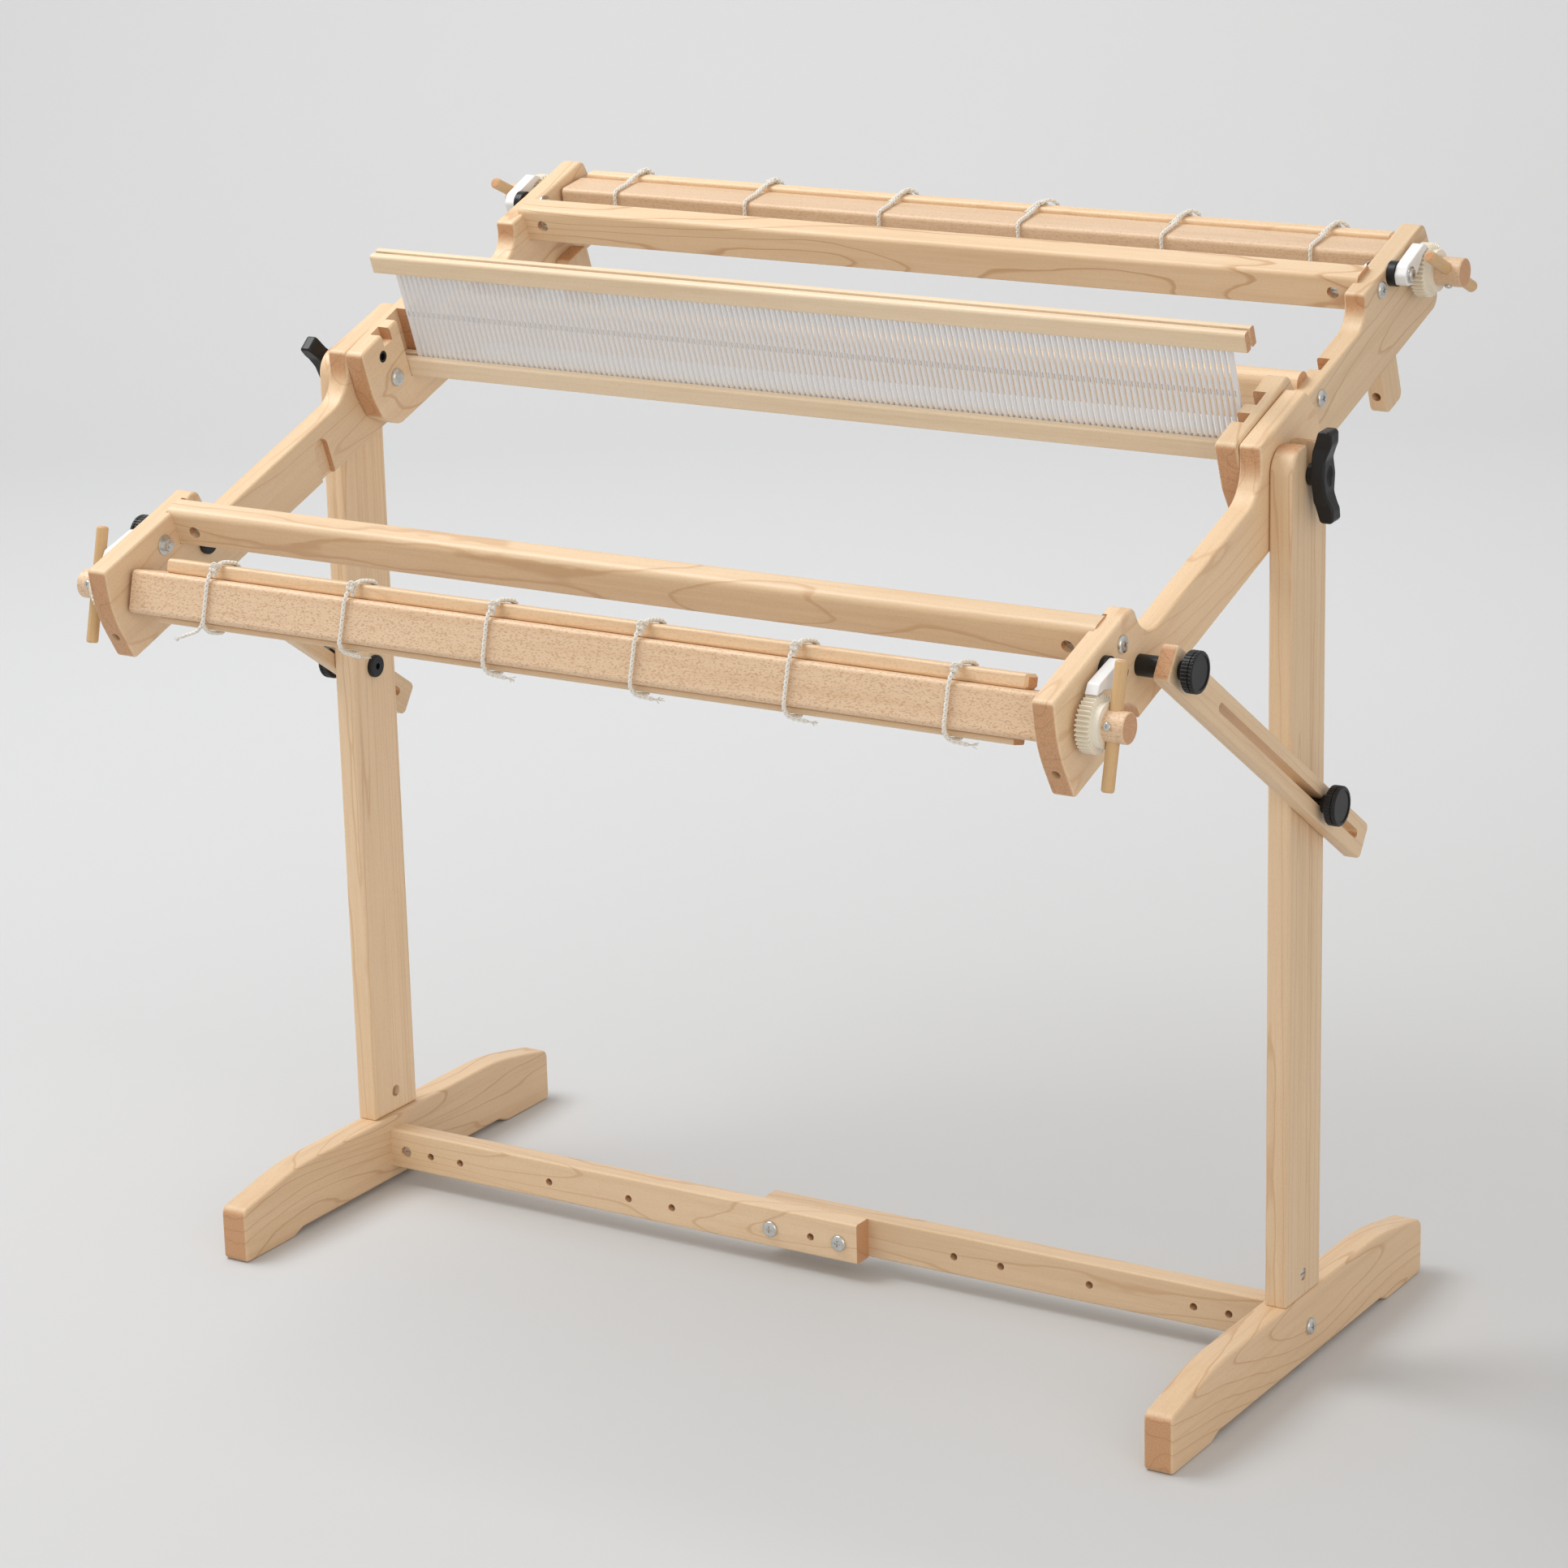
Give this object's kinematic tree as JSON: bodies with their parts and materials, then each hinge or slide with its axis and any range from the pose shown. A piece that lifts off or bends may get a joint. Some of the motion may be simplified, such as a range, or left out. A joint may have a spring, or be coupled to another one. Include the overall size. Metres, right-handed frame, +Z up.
{
  "type": "rigid heddle loom",
  "caption": "Table-width rigid heddle weaving loom on a two-post wooden stand, with ratchet-held cloth and warp beams, a slotted reed heddle and clamped tilt braces.",
  "frame": {"origin": "centre of the loom's footprint box on the floor", "axes": "+Z up, +X to the weaver's right along the beams, -Y towards the weaver (cloth beam side), +Y towards the warp beam"},
  "size_m": [0.947, 0.6736, 0.852],
  "materials": {
    "maple": "clear satin lacquer on pale maple",
    "pale_birch": "clear satin lacquer on paler wood",
    "zinc_steel": "zinc-plated steel",
    "black_metal": "black oxide",
    "black_plastic": "moulded black plastic",
    "white_nylon": "moulded white nylon",
    "reed_plastic": "moulded white plastic",
    "white_cord": "braided polyester cord"
  },
  "bodies": {
    "stand": {"foot_left": "maple", "foot_right": "maple", "post_left": "maple", "post_right": "maple", "crossbar_left": "maple", "crossbar_right": "maple", "crossbar_screws": "zinc_steel", "crossbar_wing_nuts": "black_metal", "stand_bolts": "zinc_steel", "stand_barrel_nuts": "zinc_steel", "pivot_bolts": "zinc_steel", "lower_brace_studs": "black_metal"},
    "front_frame": {"front_side_left": "maple", "front_side_right": "maple", "front_beam": "maple", "front_beam_bolts": "zinc_steel", "front_beam_barrel_nuts": "zinc_steel", "upper_brace_bolts": "black_metal", "spacer_tubes": "black_plastic", "front_pawl_fasteners": "zinc_steel", "front_pawl_spacers": "black_plastic"},
    "back_frame": {"back_side_left": "maple", "back_side_right": "maple", "back_beam": "maple", "brace_rail": "maple", "back_frame_bolts": "zinc_steel", "back_frame_barrel_nuts": "zinc_steel", "rest_legs": "maple", "back_pawl_fasteners": "zinc_steel", "back_pawl_spacers": "black_plastic", "socket_inserts": "black_metal"},
    "cloth_roller": {"cloth_beam": "maple", "cloth_beam_gears": "white_nylon", "cloth_beam_handles": "maple", "cloth_beam_screws": "zinc_steel", "cloth_apron_bar": "maple", "cloth_apron_strip": "maple", "cloth_beam_ties": "white_cord"},
    "warp_roller": {"warp_beam": "maple", "warp_beam_gears": "white_nylon", "warp_beam_handles": "maple", "warp_beam_screws": "zinc_steel", "warp_apron_bar": "maple", "warp_apron_strip": "maple", "warp_beam_ties": "white_cord"},
    "heddle": {"heddle_rails": "pale_birch", "heddle_reed": "reed_plastic"},
    "brace_left_arm": {"brace_left": "maple"},
    "front_pawl_left_catch": {"front_pawl_left": "white_nylon"},
    "back_pawl_left_catch": {"back_pawl_left": "white_nylon"},
    "wing_knob_left_grip": {"wing_knob_left": "black_plastic"},
    "lower_knob_left_grip": {"lower_knob_left": "black_plastic"},
    "upper_knob_left_grip": {"upper_knob_left": "black_plastic"},
    "brace_right_arm": {"brace_right": "maple"},
    "front_pawl_right_catch": {"front_pawl_right": "white_nylon"},
    "back_pawl_right_catch": {"back_pawl_right": "white_nylon"},
    "wing_knob_right_grip": {"wing_knob_right": "black_plastic"},
    "lower_knob_right_grip": {"lower_knob_right": "black_plastic"},
    "upper_knob_right_grip": {"upper_knob_right": "black_plastic"}
  },
  "joints": [
    {"name": "loom_tilt", "type": "hinge", "parent": "stand", "child": "front_frame", "pos_m": [0, 0.02371, 0.715], "axis": [1, 0, 0], "range_deg": [-19.5, 30]},
    {"name": "back_fold", "type": "hinge", "parent": "front_frame", "child": "back_frame", "pos_m": [0, 0.02371, 0.715], "axis": [1, 0, 0], "range_deg": [-70, 0]},
    {"name": "cloth_beam_turn", "type": "hinge", "parent": "front_frame", "child": "cloth_roller", "pos_m": [0, -0.29604, 0.60389], "axis": [1, 0, 0], "continuous": true},
    {"name": "warp_beam_turn", "type": "hinge", "parent": "back_frame", "child": "warp_roller", "pos_m": [0, 0.28869, 0.8205], "axis": [1, 0, 0], "continuous": true},
    {"name": "brace_left_swing", "type": "hinge", "parent": "front_frame", "child": "brace_left_arm", "pos_m": [-0.4514, -0.2115, 0.62428], "axis": [1, 0, 0], "range_deg": [-15.1, 9.8]},
    {"name": "front_pawl_left_lift", "type": "hinge", "parent": "front_frame", "child": "front_pawl_left_catch", "pos_m": [-0.4355, -0.26417, 0.63374], "axis": [1, 0, 0], "range_deg": [-25, 0]},
    {"name": "back_pawl_left_lift", "type": "hinge", "parent": "back_frame", "child": "back_pawl_left_catch", "pos_m": [-0.4185, 0.2472, 0.82384], "axis": [1, 0, 0], "range_deg": [0, 25]},
    {"name": "wing_knob_left_turn", "type": "hinge", "parent": "stand", "child": "wing_knob_left_grip", "pos_m": [-0.452, 0.02371, 0.715], "axis": [1, 0, 0], "continuous": true},
    {"name": "lower_knob_left_turn", "type": "hinge", "parent": "stand", "child": "lower_knob_left_grip", "pos_m": [-0.465, 0.02371, 0.4629], "axis": [1, 0, 0], "continuous": true},
    {"name": "upper_knob_left_turn", "type": "hinge", "parent": "front_frame", "child": "upper_knob_left_grip", "pos_m": [-0.465, -0.2115, 0.62428], "axis": [1, 0, 0], "continuous": true},
    {"name": "brace_right_swing", "type": "hinge", "parent": "front_frame", "child": "brace_right_arm", "pos_m": [0.4514, -0.2115, 0.62428], "axis": [1, 0, 0], "range_deg": [-15.1, 9.8]},
    {"name": "front_pawl_right_lift", "type": "hinge", "parent": "front_frame", "child": "front_pawl_right_catch", "pos_m": [0.4355, -0.26417, 0.63374], "axis": [1, 0, 0], "range_deg": [-25, 0]},
    {"name": "back_pawl_right_lift", "type": "hinge", "parent": "back_frame", "child": "back_pawl_right_catch", "pos_m": [0.4185, 0.2472, 0.82384], "axis": [1, 0, 0], "range_deg": [0, 25]},
    {"name": "wing_knob_right_turn", "type": "hinge", "parent": "stand", "child": "wing_knob_right_grip", "pos_m": [0.452, 0.02371, 0.715], "axis": [1, 0, 0], "continuous": true},
    {"name": "lower_knob_right_turn", "type": "hinge", "parent": "stand", "child": "lower_knob_right_grip", "pos_m": [0.465, 0.02371, 0.4629], "axis": [1, 0, 0], "continuous": true},
    {"name": "upper_knob_right_turn", "type": "hinge", "parent": "front_frame", "child": "upper_knob_right_grip", "pos_m": [0.465, -0.2115, 0.62428], "axis": [1, 0, 0], "continuous": true},
    {"name": "heddle_lift", "type": "slide", "parent": "back_frame", "child": "heddle", "axis": [0, -0.3338, 0.9426], "range_m": [0, 0.12]}
  ],
  "couplings": [
    {"joint": "brace_left_swing", "follows": "loom_tilt", "ratio": -0.5},
    {"joint": "brace_right_swing", "follows": "loom_tilt", "ratio": -0.5}
  ]
}
